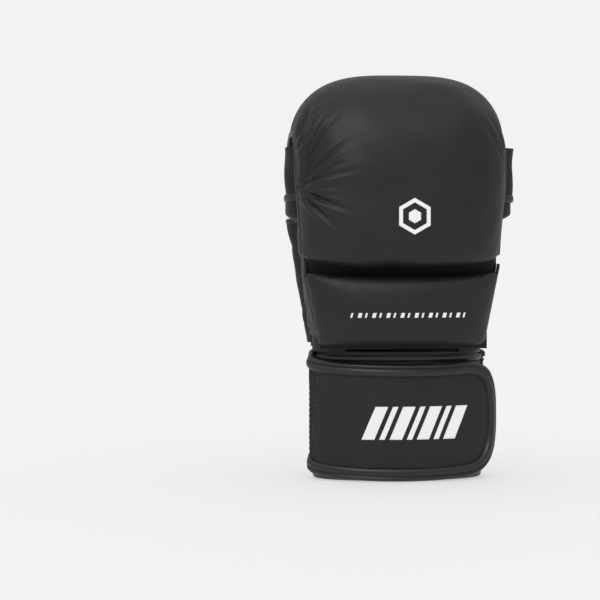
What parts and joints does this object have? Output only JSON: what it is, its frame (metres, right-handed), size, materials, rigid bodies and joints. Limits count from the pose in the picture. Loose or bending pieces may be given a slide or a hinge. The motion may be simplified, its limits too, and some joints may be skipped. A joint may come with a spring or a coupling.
{
  "type": "mma sparring glove",
  "caption": "Open-palm sparring glove with a curled padded knuckle hood, thumb sleeve, finger sleeves and a hook-and-loop wrist strap.",
  "frame": {"origin": "middle of the wrist opening, on the plane of the cuff's foot", "axes": "+Z from the wrist to the finger tips, -Y the back of the hand, +Y the palm, -X the thumb side, +X the little-finger side"},
  "size_m": [0.1484, 0.1015, 0.26],
  "materials": {
    "leather": "satin",
    "binding": "satin",
    "lining": "matte",
    "foam": "matte",
    "loop_tape": "matte",
    "hook_tape": "matte"
  },
  "bodies": {
    "hand": {"cuff_shell": "leather", "cuff_lining": "lining", "cuff_top_binding": "binding", "cuff_bottom_binding": "binding", "wrist_loop_patch": "loop_tape", "strap_palm_panel": "leather", "strap_palm_binding": "binding", "back_pad_cover": "leather", "back_pad_foam": "foam", "back_lining": "lining", "thumb_side_panel": "leather", "thumb_side_piping": "binding", "little_side_panel": "leather", "heel_panel": "leather", "heel_panel_binding": "binding"},
    "finger_pad": {"knuckle_pad_cover": "leather", "knuckle_pad_foam": "foam", "knuckle_pad_core": "foam", "knuckle_lining": "lining", "hood_facing": "leather", "index_loop": "leather", "index_loop_binding": "binding", "middle_loop": "leather", "middle_loop_binding": "binding", "ring_loop": "leather", "ring_loop_binding": "binding", "little_loop": "leather", "little_loop_binding": "binding", "palm_bar_panel": "leather", "palm_band": "binding"},
    "thumb": {"thumb_shell": "leather", "thumb_lining": "lining", "thumb_mouth_binding": "binding", "thumb_pad_cover": "leather", "thumb_pad_foam": "foam", "thenar_binding": "binding"},
    "strap": {"strap_flap": "leather", "strap_flap_binding": "binding", "hook_patch": "hook_tape"}
  },
  "joints": [
    {"name": "knuckle_flex", "type": "hinge", "parent": "hand", "child": "finger_pad", "pos_m": [0, -0.022, 0.139], "axis": [-1, 0, 0], "range_deg": [-8, 8]},
    {"name": "thumb_swing", "type": "hinge", "parent": "hand", "child": "thumb", "pos_m": [-0.056, 0.014, 0.088], "axis": [-0.1727, 0, 0.985], "range_deg": [-4, 25]},
    {"name": "strap_peel", "type": "hinge", "parent": "hand", "child": "strap", "pos_m": [-0.0613, 0, 0.0445], "axis": [0, 0, -1], "range_deg": [0, 150]}
  ]
}
